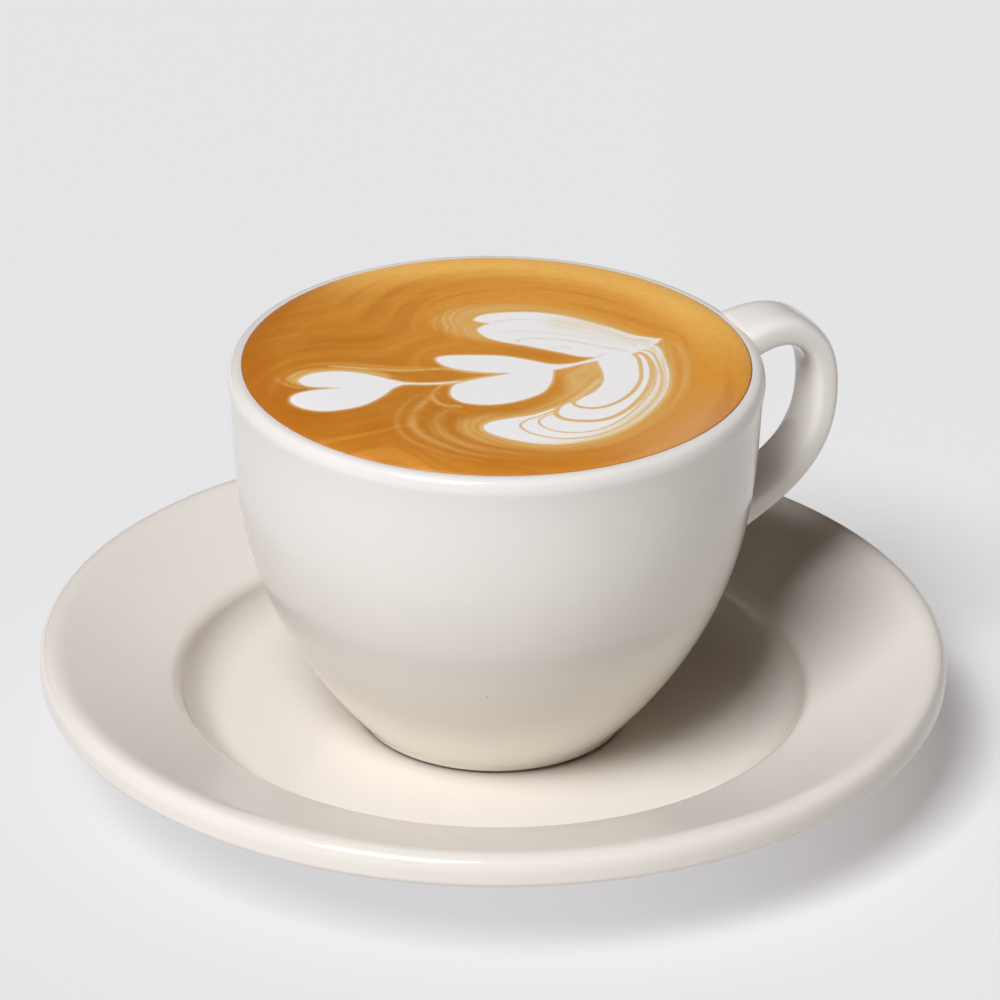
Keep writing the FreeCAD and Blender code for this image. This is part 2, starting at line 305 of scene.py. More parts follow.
def rounded_outline(corners, steps=12):
    """Points of an open outline through (radius, height, rounding) corners."""
    points = [np.array(corners[0][:2])]
    for before, here, after in zip(corners, corners[1:], corners[2:]):
        corner = np.array(here[:2])
        back = np.array(before[:2]) - corner
        ahead = np.array(after[:2]) - corner
        back /= np.linalg.norm(back)
        ahead /= np.linalg.norm(ahead)
        half_angle = math.acos(float(np.clip(back @ ahead, -1, 1))) / 2
        reach = here[2] / math.tan(half_angle)
        inward = (back + ahead) / np.linalg.norm(back + ahead)
        centre = corner + inward * here[2] / math.sin(half_angle)
        start = corner + back * reach - centre
        end = corner + ahead * reach - centre
        for share in np.linspace(0, 1, steps):
            direction = start * (1 - share) + end * share
            points.append(centre + direction / np.linalg.norm(direction) * here[2])
    points.append(np.array(corners[-1][:2]))
    return points


def bezier(poles, steps):
    """Points along a cubic curve with four poles."""
    t = np.linspace(0, 1, steps)[:, None]
    p0, p1, p2, p3 = np.array(poles, float)
    return (1 - t) ** 3 * p0 + 3 * (1 - t) ** 2 * t * p1 + 3 * (1 - t) * t ** 2 * p2 + t ** 3 * p3


def turned(outline, sides):
    """Places and faces of an outline turned round Z, which starts and ends on the axis, in millimetres."""
    inner = outline[1:-1]
    places = [(0.0, 0.0, outline[0][1]), (0.0, 0.0, outline[-1][1])]
    for index in range(sides):
        angle = 2 * math.pi * index / sides
        places += [(r * math.cos(angle), r * math.sin(angle), z) for r, z in inner]
    count = len(inner)
    faces = []
    for index in range(sides):
        here = 2 + index * count
        after = 2 + (index + 1) % sides * count
        faces.append((0, here, after))
        faces += [(here + k, here + k + 1, after + k + 1, after + k) for k in range(count - 1)]
        faces.append((1, after + count - 1, here + count - 1))
    return places, faces


def add_piece(name, places, faces, material, node):
    """A mesh of places in millimetres that stands in for one node of the CAD."""
    mesh = bpy.data.meshes.new(name)
    mesh.from_pydata([tuple(c * MM for c in place) for place in places], [], faces)
    mesh.shade_smooth()
    mesh.materials.append(material)
    piece = bpy.data.objects.new(name, mesh)
    bpy.context.scene.collection.objects.link(piece)
    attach(piece, "root")
    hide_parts(node)


# ---------------------------------------------------------------- saucer

def make_saucer():
    top = rounded_outline(SAUCER_TOP)
    flange_start, flange_end = top[-2:]
    flange = [flange_start + (flange_end - flange_start) * share for share in FLANGE_SHARES]
    rim = list(bezier(SAUCER_RIM, SAUCER_RIM_STEPS))[:-1]
    outline = top[:-1] + flange + rim + rounded_outline(SAUCER_UNDERSIDE)
    places, faces = turned(outline, SAUCER_SIDES)
    material = glaze_material("saucer_glaze", SAUCER_GLAZE, BISQUE, SAUCER_BARE_HEIGHT)
    add_piece("saucer_turned", places, faces, material, "saucer")


# ---------------------------------------------------------------- cup

def cup_outline():
    outline = [np.array((0.0, CUP_CAVITY[0][1]))]
    for poles, steps in CUP_CURVES:
        outline += list(bezier(poles, steps))[:-1]
    return outline + rounded_outline(CUP_BASE, CUP_BASE_STEPS)


def spline(poles, count):
    """Points and directions along a clamped cubic spline, evenly spaced in its parameter."""
    poles = np.array(poles, float)
    last = len(poles) - 3
    knots = np.concatenate([[0, 0, 0], np.arange(last + 1), [last, last, last]]).astype(float)
    t = np.linspace(0, last - 1e-9, count)
    basis = [((knots[i] <= t) & (t < knots[i + 1])).astype(float) for i in range(len(knots) - 1)]
    for degree in (1, 2, 3):
        raised = []
        for i in range(len(basis) - 1):
            total = np.zeros(count)
            if knots[i + degree] > knots[i]:
                total += (t - knots[i]) / (knots[i + degree] - knots[i]) * basis[i]
            if knots[i + degree + 1] > knots[i + 1]:
                total += (knots[i + degree + 1] - t) / (knots[i + degree + 1] - knots[i + 1]) * basis[i + 1]
            raised.append(total)
        basis = raised
    points = np.stack(basis, 1) @ poles
    along = np.gradient(points, axis=0)
    return points, along / np.linalg.norm(along, axis=1)[:, None]


def handle_mesh():
    """A flattened strap that flares into the wall at both ends, as places and faces."""
    wall = bezier(CUP_BELLY, HANDLE_WALL_STEPS)[::-1]
    points, along = spline(HANDLE_ROUTE, HANDLE_SECTIONS)
    turn = np.linspace(0, 2 * math.pi, HANDLE_SIDES, endpoint=False)
    power = 2 / HANDLE_SQUARENESS
    wide = np.sign(np.cos(turn)) * np.abs(np.cos(turn)) ** power / 2
    thick = np.sign(np.sin(turn)) * np.abs(np.sin(turn)) ** power / 2
    places = []
    for index, (point, direction) in enumerate(zip(points, along)):
        share = index / (HANDLE_SECTIONS - 1)
        widening = HANDLE_TOP_WIDENING if share < 0.5 else HANDLE_BOTTOM_WIDENING
        outside = max(0.0, point[0] - np.interp(point[1], wall[:, 1], wall[:, 0]))
        flare = HANDLE_ROOT_FLARE * math.exp(-outside / HANDLE_FLARE_REACH)
        near_end = abs(2 * share - 1) ** HANDLE_END_POWER
        width = HANDLE_WIDTH + widening * near_end + flare
        thickness = HANDLE_THICKNESS + HANDLE_THICKENING * near_end
        for across, through in zip(wide * width, thick * thickness):
            x = point[0] - direction[1] * through
            z = point[1] + direction[0] * through
            inner = np.interp(z, wall[:, 1], wall[:, 0]) - HANDLE_SINK
            if math.hypot(x, across) < inner:
                x = math.sqrt(inner ** 2 - across ** 2)
            places.append((x, across, z))
    faces = []
    for section in range(HANDLE_SECTIONS - 1):
        for side in range(HANDLE_SIDES):
            here = section * HANDLE_SIDES + side
            beside = section * HANDLE_SIDES + (side + 1) % HANDLE_SIDES
            faces.append((here, beside, beside + HANDLE_SIDES, here + HANDLE_SIDES))
    end = (HANDLE_SECTIONS - 1) * HANDLE_SIDES
    faces.append(tuple(range(HANDLE_SIDES))[::-1])
    faces.append(tuple(end + side for side in range(HANDLE_SIDES)))
    return places, faces


def make_cup():
    places, faces = turned(cup_outline(), CUP_SIDES)
    handle_places, handle_faces = handle_mesh()
    start = len(places)
    places += handle_places
    faces += [tuple(start + index for index in face) for face in handle_faces]
    material = glaze_material("cup_glaze", CUP_GLAZE, CUP_FOOT_CLAY_AND_SHADE, CUP_BARE_HEIGHT, PAINTED_BOUNCE_GLAZE)
    add_piece("cup_thrown", places, faces, material, "cup")


# ---------------------------------------------------------------- milk art, in millimetres

def between(p0, p1, p2, p3, share):
    """Points on a smooth curve from p1 to p2, where p0 comes before them and p3 after."""
    return 0.5 * (2 * p1 + (p2 - p0) * share + (2 * p0 - 5 * p1 + 4 * p2 - p3) * share ** 2
                  + (3 * p1 - p0 - 3 * p2 + p3) * share ** 3)


def smooth_loop(corners, steps=10):
    """A closed smooth curve through points, as many short sides."""
    points = np.array(corners, float)
    before = np.roll(points, 1, 0)
    after = np.roll(points, -1, 0)
    beyond = np.roll(points, -2, 0)
    share = np.linspace(0, 1, steps, endpoint=False)[None, :, None]
    p0, p1, p2, p3 = (p[:, None, :] for p in (before, points, after, beyond))
    curve = between(p0, p1, p2, p3, share)
    return curve.reshape(-1, 2)


def inside_distance(places, corners):
    """Distance of each place from a smooth loop's edge, negative inside it."""
    loop = smooth_loop(corners)
    nearest = np.full(len(places), np.inf)
    inside = np.zeros(len(places), bool)
    for start, end in zip(loop, np.roll(loop, -1, 0)):
        side = end - start
        offset = places - start
        share = np.clip(offset @ side / (side @ side), 0, 1)
        gap = offset - share[:, None] * side
        nearest = np.minimum(nearest, np.einsum("ij,ij->i", gap, gap))
        crosses = (start[1] > places[:, 1]) != (end[1] > places[:, 1])
        rise = side[1] if side[1] else 1.0
        inside ^= crosses & (places[:, 0] < start[0] + side[0] * offset[:, 1] / rise)
    return np.sqrt(nearest) * np.where(inside, -1, 1)


def open_curve(corners, steps=8):
    """An open smooth curve through points of any number of values."""
    points = np.array(corners, float)
    padded = np.vstack([2 * points[0] - points[1], points, 2 * points[-1] - points[-2]])
    share = np.linspace(0, 1, steps, endpoint=False)[None, :, None]
    p0, p1, p2, p3 = (padded[i:len(padded) - 3 + i, None, :] for i in range(4))
    curve = between(p0, p1, p2, p3, share)
    return np.vstack([curve.reshape(-1, points.shape[1]), points[-1]])


def stroke_distance(places, stroke):
    """Distance of each place from the edge of a stroke of (x, y, half width) points, negative inside it."""
    route = open_curve(stroke)
    nearest = np.full(len(places), np.inf)
    for start, end in zip(route[:-1], route[1:]):
        side = end[:2] - start[:2]
        offset = places - start[:2]
        share = np.clip(offset @ side / (side @ side), 0, 1)
        gap = np.linalg.norm(offset - share[:, None] * side, axis=1)
        nearest = np.minimum(nearest, gap - (start[2] + (end[2] - start[2]) * share))
    return nearest


def ease(value, start, end):
    """0 at start and 1 at end, smooth in between. End may be below start."""
    share = np.clip((value - start) / (end - start), 0, 1)
    return share * share * (3 - 2 * share)


# Lobes of the two hearts
SMALL_HEART = [
    [(-15.6, -11.8), (-18.6, -9.9), (-22.5, -8.0), (-27.0, -7.2), (-31.0, -8.1), (-33.0, -10.4),
     (-31.8, -12.5), (-28.6, -13.3), (-22.0, -13.4)],
    [(-15.6, -11.9), (-20.5, -12.6), (-26.5, -13.7), (-31.0, -14.5), (-33.9, -16.2), (-33.8, -18.8),
     (-31.2, -21.2), (-27.5, -22.0), (-22.6, -20.4), (-19.2, -17.0), (-17.3, -13.7)],
]
MIDDLE_HEART = [
    [(-10.2, -2.0), (-8.6, -0.8), (-4.0, -0.4), (1.0, -0.6), (5.0, -1.9), (8.5, -3.4), (11.5, -4.1),
     (8.5, -6.2), (3.0, -7.1), (-1.8, -7.0), (-6.2, -6.1), (-9.0, -4.4)],
    [(-7.6, -14.6), (-6.8, -12.0), (-3.6, -10.0), (1.8, -7.6), (6.5, -5.8), (9.2, -5.4), (9.4, -8.0),
     (8.9, -11.5), (7.3, -15.0), (3.2, -18.2), (-1.2, -19.5), (-5.2, -18.9), (-7.2, -16.9)],
]

# The far wing, and the near wing's lobes from the outermost, each poured inside the last
FAR_WING = [(-4.0, 13.7), (-2.4, 15.9), (1.5, 17.0), (6.0, 17.2), (10.5, 16.2), (15.0, 14.0), (19.5, 11.2),
            (23.0, 8.7), (27.3, 7.1), (26.4, 4.8), (24.6, 1.6), (22.0, -0.4), (18.0, -0.5), (14.0, -0.2),
            (10.5, 1.3), (5.5, 3.5), (1.0, 5.1), (-1.6, 6.7), (-3.0, 8.6), (-3.3, 10.2), (-2.2, 11.7),
            (-1.5, 12.4)]
NEAR_WING = [
    [(-2.0, -27.9), (-0.7, -26.0), (2.6, -24.5), (7.0, -22.6), (13.0, -17.0), (18.0, -8.0), (23.0, 1.0),
     (26.8, 4.6), (28.4, -1.5), (28.9, -8.5), (27.6, -15.5), (24.6, -22.6), (20.0, -28.6), (14.6, -32.2),
     (8.6, -33.6), (3.0, -32.3), (-0.8, -30.1)],
    [(4.3, -27.3), (5.4, -25.1), (8.0, -23.2), (14.0, -17.0), (19.0, -7.0), (22.5, 1.0), (25.6, 2.0),
     (27.3, -4.5), (27.2, -11.5), (25.2, -18.6), (21.4, -25.2), (16.4, -29.8), (10.8, -31.3), (6.2, -29.8)],
    [(7.3, -25.8), (8.2, -23.8), (11.0, -21.5), (16.0, -14.0), (20.0, -5.0), (22.5, 1.0), (24.8, 1.0),
     (26.4, -4.5), (26.0, -11.5), (23.8, -18.0), (20.4, -24.2), (16.2, -28.2), (11.6, -29.1), (8.6, -27.9)],
    [(10.4, -22.0), (11.4, -19.2), (15.0, -15.5), (19.0, -8.0), (22.0, 0.0), (24.4, 0.6), (25.5, -4.0),
     (25.3, -9.5), (23.6, -15.6), (20.6, -21.2), (17.2, -24.1), (13.2, -24.5), (11.0, -23.6)],
    [(17.1, -2.0), (17.8, -6.0), (17.9, -10.0), (16.6, -13.6), (14.2, -16.6), (13.2, -18.3), (14.2, -19.5),
     (16.6, -19.7), (19.4, -17.9), (22.0, -14.2), (23.6, -9.5), (23.8, -4.5), (23.2, 0.0), (21.0, 1.5),
     (18.2, 0.0)],
]
NEAR_WING_GAPS = [0.0, 0.5, 0.45, 0.95, 0.8]

# Thin strokes: x, y and half width
STEMS = [
    [(-17.0, -11.7, 0.7), (-14.5, -11.8, 0.3), (-11.5, -11.8, 0.22), (-8.6, -11.4, 0.2), (-6.0, -10.8, 0.1)],
    [(8.6, -4.8, 1.2), (11.0, -4.3, 0.7), (13.5, -3.2, 0.35), (16.5, -1.5, 0.5), (19.5, 0.4, 1.2),
     (23.0, 3.2, 1.4), (25.6, 5.6, 1.0), (27.4, 7.2, 0.3)],
]


def pour(foam, lobe, gap):
    """The foam's edge distance after one more lobe, which keeps a gap of crema round itself."""
    return np.minimum(lobe, np.maximum(foam, gap - lobe))


def foam_edge(places):
    """Distance from the edge of the white foam, negative inside it."""
    foam = inside_distance(places, FAR_WING)
    for corners, gap in zip(NEAR_WING, NEAR_WING_GAPS):
        lobe = inside_distance(places, corners)
        foam = pour(foam, lobe, gap) if gap else np.minimum(foam, lobe)
    for corners in SMALL_HEART + MIDDLE_HEART:
        foam = np.minimum(foam, inside_distance(places, corners))
    for stroke in STEMS:
        foam = np.minimum(foam, stroke_distance(places, stroke))
    return foam


# Soft fields of cream round the foam: how strong, how softly they end, and their outline
CREAM_FIELDS = [
    (0.6, 0.5, NEAR_WING[0]),
    (0.75, 1.0, [(-17.5, -9.4), (-20.5, -6.9), (-27.0, -5.9), (-32.6, -6.6), (-35.2, -9.2), (-33.8, -12.0),
                 (-28.5, -13.6), (-22.0, -12.0)]),
    (0.72, 1.8, [(-10.4, 13.0), (-9.2, 16.6), (-4.5, 19.4), (3.0, 20.3), (11.0, 19.2), (18.0, 15.0),
                 (25.0, 9.0), (29.5, 5.0), (30.6, -4.0), (30.2, -12.0), (27.6, -21.0), (22.5, -29.0),
                 (15.5, -34.2), (7.5, -35.8), (0.0, -34.4), (-5.6, -30.6), (-6.4, -25.8), (-2.0, -23.4),
                 (5.0, -21.0), (11.0, -14.0), (11.0, -6.0), (15.0, -1.0), (6.0, 2.6), (-3.0, 5.6),
                 (-8.4, 8.0)]),
    (0.55, 1.8, [(-8.6, 9.0), (-8.4, 13.6), (-5.4, 16.4), (-2.0, 16.6), (1.0, 12.0), (-2.0, 7.4)]),
    (0.66, 1.8, [(-5.8, -27.0), (-3.4, -24.2), (6.0, -21.6), (12.0, -15.0), (18.0, -6.0), (26.0, 5.0),
                 (29.6, -2.0), (29.8, -10.0), (27.6, -18.6), (23.2, -26.2), (16.8, -32.2), (8.6, -34.8),
                 (0.6, -33.6), (-4.6, -30.8)]),
]
# Strokes of cream: how strong, and the stroke
CREAM_STROKE_EDGE = (0.5, -0.3)         # distances where a stroke starts and is full
CREAM_STROKES = [
    (0.8, [(-28.0, -5.2, 0.2), (-22.0, -6.0, 0.45), (-17.0, -6.7, 0.5), (-12.0, -6.3, 0.3), (-8.5, -5.9, 0.4),
           (-4.5, -7.1, 0.35), (0.5, -7.6, 0.4)]),
    (0.4, [(-31.0, -4.4, 0.2), (-24.0, -4.7, 0.3), (-16.0, -5.4, 0.25), (-10.0, -5.6, 0.2)]),
    (0.5, [(-36.8, -9.6, 0.2), (-35.6, -11.4, 0.3), (-33.6, -13.0, 0.3), (-31.0, -13.5, 0.2)]),
    (0.8, [(-13.0, -11.8, 0.35), (-9.0, -11.7, 0.6), (-6.4, -11.0, 0.8), (-3.6, -9.6, 0.5),
           (0.6, -8.0, 0.4)]),
    (0.55, [(-6.0, -20.4, 0.4), (-9.5, -19.4, 0.5), (-10.6, -15.6, 0.35), (-9.2, -12.2, 0.3)]),
    (0.6, [(-10.4, 9.6, 0.2), (-10.8, 13.4, 0.3), (-8.8, 16.8, 0.3), (-4.0, 19.6, 0.3), (3.0, 20.4, 0.3),
           (10.0, 19.4, 0.2)]),
    (0.55, [(16.0, -8.6, 0.2), (15.6, -12.4, 0.4), (13.4, -15.8, 0.4), (11.2, -18.0, 0.3)]),
]
# Broad faint wisps: how strong, how softly they end, and the stroke
CREAM_WISPS = [
    (0.55, 1.0, [(-9.6, -15.0, 0.1), (-11.8, -18.6, 0.6), (-13.6, -23.4, 0.8), (-13.4, -28.6, 0.8),
                 (-9.8, -33.4, 0.6), (-3.6, -37.2, 0.4), (4.0, -38.8, 0.1)]),
    (0.42, 0.8, [(-13.0, -16.2, 0.1), (-15.6, -21.0, 0.4), (-16.4, -26.6, 0.5), (-14.4, -32.2, 0.4),
                 (-9.0, -36.8, 0.3), (-2.0, -39.6, 0.1)]),
    (0.5, 1.4, [(-7.4, -20.6, 0.2), (-9.8, -25.4, 1.0), (-8.4, -30.8, 1.1), (-3.2, -35.0, 0.9),
                (4.4, -36.8, 0.6), (12.0, -36.4, 0.4), (19.0, -33.0, 0.1)]),
    (0.72, 1.3, [(28.0, 8.6, 0.1), (31.2, 3.0, 0.6), (32.0, -5.0, 0.8), (30.6, -14.0, 0.8),
                 (27.0, -23.0, 0.6), (21.6, -30.4, 0.3), (16.0, -34.8, 0.1)]),
    (0.3, 1.4, [(-14.0, 8.0, 0.1), (-14.2, 13.6, 0.6), (-10.2, 18.4, 0.7), (-3.0, 21.8, 0.6),
                (6.0, 22.0, 0.5), (14.0, 19.0, 0.1)]),
    (0.22, 0.8, [(-33.0, 3.0, 0.1), (-33.6, 9.0, 0.4), (-29.0, 15.0, 0.5), (-21.0, 20.6, 0.5),
                 (-10.0, 24.4, 0.5), (0.0, 26.4, 0.3), (12.0, 26.0, 0.1)]),
]


def cream_strength(places):
    """How much milk is blended into the crema, from 0 to 1."""
    cream = np.zeros(len(places))
    for strength, softness, corners in CREAM_FIELDS:
        distance = inside_distance(places, corners)
        cream = np.maximum(cream, strength * ease(distance, softness, -softness))
    for strength, stroke in CREAM_STROKES:
        distance = stroke_distance(places, stroke)
        cream = np.maximum(cream, strength * ease(distance, *CREAM_STROKE_EDGE))
    for strength, softness, stroke in CREAM_WISPS:
        distance = stroke_distance(places, stroke)
        cream = np.maximum(cream, strength * ease(distance, softness, -softness))
    return cream


# Thin lines of cream across the wings' foam: how strong, and the stroke
VEIL_STROKE_EDGE = (0.45, -0.25)
VEIL_STROKES = [
    (0.9, [(3.5, 5.2, 0.15), (4.0, 6.2, 0.2), (7.0, 6.7, 0.2), (11.0, 6.2, 0.2), (15.0, 4.8, 0.15),
           (19.0, 3.2, 0.15), (22.0, 2.3, 0.1)]),
    (0.5, [(0.0, 9.2, 0.1), (4.0, 9.4, 0.2), (8.0, 9.0, 0.2), (12.0, 8.2, 0.2), (16.0, 6.8, 0.2),
           (20.0, 5.2, 0.1)]),
    (0.5, [(-2.4, 12.2, 0.5), (-1.2, 12.7, 0.3), (2.0, 14.0, 0.2), (6.0, 14.2, 0.2), (11.0, 13.3, 0.2),
           (16.0, 11.0, 0.2)]),
    (0.5, [(9.2, 3.0, 0.2), (10.6, 3.3, 0.3), (12.4, 2.9, 0.2)]),
    (0.9, [(26.8, -1.0, 0.1), (27.2, -6.0, 0.3), (27.0, -11.0, 0.3), (25.4, -17.6, 0.3), (22.0, -24.0, 0.3)]),
    (0.6, [(28.4, 0.0, 0.1), (28.6, -6.0, 0.3), (28.0, -13.0, 0.3), (25.6, -20.0, 0.3), (21.4, -26.6, 0.3)]),
]
# Where the wings' foam is thinner: how strong, how softly it ends, and its outline
THIN_FOAM = [
    (0.75, 2.2, [(9.0, 15.0), (15.0, 14.4), (21.0, 10.6), (26.0, 7.2), (24.0, 4.6), (16.0, 8.6),
                 (9.0, 11.6)]),
    (1.0, 1.4, [(26.6, 4.0), (29.6, 0.0), (29.8, -10.0), (27.6, -18.0), (23.6, -25.4), (18.0, -31.2),
                (10.0, -34.4), (4.0, -33.6), (11.0, -32.2), (17.4, -28.6), (22.6, -22.0), (25.8, -14.4),
                (27.0, -6.0), (25.8, 1.0)]),
]


def veil_strength(places):
    """How far the white foam turns to cream, from 0 to 1."""
    veil = np.zeros(len(places))
    for strength, softness, corners in THIN_FOAM:
        distance = inside_distance(places, corners)
        veil = np.maximum(veil, strength * ease(distance, softness, -softness))
    for strength, stroke in VEIL_STROKES:
        distance = stroke_distance(places, stroke)
        veil = np.maximum(veil, strength * ease(distance, *VEIL_STROKE_EDGE))
    return veil


FLOW_BLEND = 2.0                # how far apart, in millimetres, two shapes' lines run together


def flow_line(places):
    """A number that stays the same along each line that the milk was drawn out into."""
    whole = [FAR_WING, NEAR_WING[0], *SMALL_HEART, *MIDDLE_HEART]
    distances = np.array([inside_distance(places, corners) for corners in whole])
    return -FLOW_BLEND * np.log(np.exp(-distances / FLOW_BLEND).sum(axis=0))


# ---------------------------------------------------------------- drink

def dome_profile(edge_radius, top):
    """Radius and height of the drink's surface from its middle out to its edge."""
    shoulder = edge_radius * DRINK_SHOULDER
    poles = [(0.0, top), (shoulder * DRINK_FLAT, top), (shoulder, top), (edge_radius, top - DRINK_CROWN)]
    return bezier(poles, DRINK_CURVE_STEPS)


def side_profile(node):
    """Radius of a turned CAD node by height, as sorted heights and the widest radius at each."""
    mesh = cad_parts[node].data
    places = np.array([vertex.co for vertex in mesh.vertices], float)
    radii = np.hypot(places[:, 0], places[:, 1])
    heights = np.round(places[:, 2], 6)
    levels = np.unique(heights)
    widest = np.array([radii[heights == level].max() for level in levels])
    return levels, widest


def ring_places(radius, height, count):
    places = []
    for index in range(count):
        angle = 2 * math.pi * index / count
        places.append((radius * math.cos(angle), radius * math.sin(angle), height))
    return places


def surface_net(edge, top):
    """Places and faces of rings of near-equal triangles, and the number of the last ring's first place."""
    dome = dome_profile(edge, top)
    places = [(0.0, 0.0, top)]
    faces = []
    first = [0]
    for ring in range(1, DRINK_RINGS + 1):
        radius = edge * ring / DRINK_RINGS
        height = float(np.interp(radius, dome[:, 0], dome[:, 1]))
        count = DRINK_SECTORS * ring
        count_inside = DRINK_SECTORS * (ring - 1)
        first.append(len(places))
        places += ring_places(radius, height, count)
        for sector in range(DRINK_SECTORS):
            for index in range(ring):
                outer = sector * ring + index
                inner = sector * (ring - 1) + index
                outer_next = first[ring] + (outer + 1) % count
                inner_here = first[ring - 1] + inner % max(1, count_inside)
                faces.append((first[ring] + outer, outer_next, inner_here))
                if index < ring - 1:
                    inner_next = first[ring - 1] + (inner + 1) % count_inside
                    faces.append((inner_here, outer_next, inner_next))
    return places, faces, first[-1]


def drink_mesh():
    """A closed mesh: a fine round net on top, and plain rings down the wall to a flat bottom."""
    low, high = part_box("latte")
    places, faces, last = surface_net((high.x - low.x) / 2, high.z)
    count = DRINK_SECTORS * DRINK_RINGS
    levels, widest = side_profile("latte")
    side_top = high.z - DRINK_CROWN - DRINK_SIDE_DROP
    for step in range(DRINK_SIDE_RINGS + 1):
        height = side_top + (low.z - side_top) * step / DRINK_SIDE_RINGS
        radius = float(np.interp(height, levels, widest)) + WALL_REACH
        start = len(places)
        places += ring_places(radius, height, count)
        for index in range(count):
            after = (index + 1) % count
            faces.append((last + index, start + index, start + after, last + after))
        last = start
    faces.append(tuple(last + index for index in reversed(range(count))))
    mesh = bpy.data.meshes.new("latte_drink")
    mesh.from_pydata(places, [], faces)
    mesh.shade_smooth()
    return mesh


def art_places(mesh):
    """Where each point of a mesh lies in the art's own axes, in millimetres."""
    places = np.zeros(len(mesh.vertices) * 3, np.float32)
    mesh.vertices.foreach_get("co", places)
    x, y = places.reshape(-1, 3)[:, :2].astype(float).T / MM
    across = x * math.cos(ART_TURN) - y * math.sin(ART_TURN)
    away = x * math.sin(ART_TURN) + y * math.cos(ART_TURN)
    return np.stack([across, away], 1)


def store(mesh, name, values):
    attribute = mesh.attributes.new(name, "FLOAT", "POINT")
    attribute.data.foreach_set("value", np.asarray(values, np.float32))


# Painted shade at the crema's near left and painted light at its far right, blended across it
CREMA_PAINTED_SHADE_NEAR = colour(195, 121, 34)
CREMA_PAINTED_LIGHT_FAR = colour(231, 160, 66)
CREMA_LIGHT = colour(224, 156, 68)
CREMA_DARK = colour(176, 97, 22)
# Painted reflections: gold at the crema's far edge and a pale haze at its near right edge
PAINTED_GOLD_REFLECTION = colour(255, 199, 104)
PAINTED_HAZE_REFLECTION = colour(216, 168, 120)
CREAM = colour(226, 178, 104)
CREAM_PALE = colour(231, 203, 150)
FOAM = colour(243, 241, 239)
FOAM_THIN = colour(233, 213, 178)
SPECK = colour(120, 62, 18)

# Noise along the pour: how fast it changes across the lines, for each millimetre, and over the drink, for
# each metre
STREAK_FINENESS = (1.6, 60)
BAND_FINENESS = (0.42, 24)
BAND_MIDDLE = 0.52
DARK_BANDS = 0.38               # strengths
LIGHT_BANDS = 0.45
CREMA_CLOUDS = 14 * MM
CLOUD_STRENGTH = 0.2
MOTTLE = 1.3 * MM
MOTTLE_STRENGTH = 0.10

# Light, shade and reflections painted on the crema, which stay with the drink. Places are in millimetres in
# the art's own axes: across from its left, away from its near side, and radius from its middle.
FADE_ACROSS = 55
GOLD_RADII = (29, 38)
GOLD_SLOPE = 0.35               # how far the gold leans round from the far side to the right
GOLD_AWAY = (8, 34)
GOLD_STRENGTH = 0.85
LEFT_RADII = (35, 43)
LEFT_ACROSS = (-22, -38)
LEFT_STRENGTH = 0.55
HAZE_RADII = (32, 41)
HAZE_ACROSS = (12, 36)
HAZE_AWAY = (-4, -26)
HAZE_STRENGTH = 0.5

FOAM_WAVES = 1.1 * MM           # how far apart the small waves in the foam's edge are
FOAM_WAVE_HEIGHT = 0.16         # millimetres, as are the edge distances
FRINGE_EDGE = (0.9, 0.1)
FRINGE_STRENGTH = 0.65
FOAM_EDGE = (0.24, -0.06)
BUBBLE_SPACING = 2.6 * MM
BUBBLE_RADIUS = 0.2 * MM
BUBBLE_SHARE = 0.07
BUBBLE_STRENGTH = 0.6
DRINK_ROUGHNESS = 0.34
MOTTLE_ROUGHNESS = 0.14
FROTH_SIZE = 0.22 * MM
FROTH_HEIGHT = 0.02 * MM
FROTH_STRENGTH = 0.5
DRINK_IOR = 1.38


def crema_tone(shader, place, flow):
    """Crema in bands and clouds, with painted light and shade: lighter from the near left to the far right.
    """
    # Painted light and shade: the crema's tone runs from darker at the near left to lighter at the far right
    across_and_away = shader.math("ADD", shader.attribute("across"), shader.attribute("away"))
    tone = shader.mix(shader.step(across_and_away, -FADE_ACROSS, FADE_ACROSS), CREMA_PAINTED_SHADE_NEAR, CREMA_PAINTED_LIGHT_FAR)
    bands = shader.noise(shader.poured(flow, place, *BAND_FINENESS), 1.0, 3, 0.55)
    dark = shader.math("MULTIPLY", shader.step(bands, BAND_MIDDLE, 0.3), DARK_BANDS)
    light = shader.math("MULTIPLY", shader.step(bands, BAND_MIDDLE, 0.72), LIGHT_BANDS)
    tone = shader.mix(dark, tone, CREMA_DARK)
    tone = shader.mix(light, tone, CREMA_LIGHT)
    clouds = shader.step(shader.noise(place, CREMA_CLOUDS, 4, 0.6), 0.4, 0.7)
    return shader.mix(shader.math("MULTIPLY", clouds, CLOUD_STRENGTH), tone, CREMA_LIGHT)


def painted_light(shader, tone):
    """Painted light on the tone: a gold reflection at the far edge, shade at the left, a pale haze at the
    near right.
    """
    across = shader.attribute("across")
    away = shader.attribute("away")
    radius = shader.attribute("radius")
    leaning = shader.math("MULTIPLY_ADD", across, GOLD_SLOPE, away)
    # Painted reflection: gold along the far edge
    far = shader.math("MULTIPLY", shader.step(radius, *GOLD_RADII), shader.step(leaning, *GOLD_AWAY))
    tone = shader.mix(shader.math("MULTIPLY", far, GOLD_STRENGTH), tone, PAINTED_GOLD_REFLECTION)
    # Painted shade along the left edge
    left = shader.math("MULTIPLY", shader.step(radius, *LEFT_RADII), shader.step(across, *LEFT_ACROSS))
    tone = shader.mix(shader.math("MULTIPLY", left, LEFT_STRENGTH), tone, CREMA_DARK)
    # Painted reflection: a pale haze at the near right edge
    near = shader.math("MULTIPLY", shader.step(across, *HAZE_ACROSS), shader.step(away, *HAZE_AWAY))
    hazy = shader.math("MULTIPLY", near, shader.step(radius, *HAZE_RADII))
    return shader.mix(shader.math("MULTIPLY", hazy, HAZE_STRENGTH), tone, PAINTED_HAZE_REFLECTION)


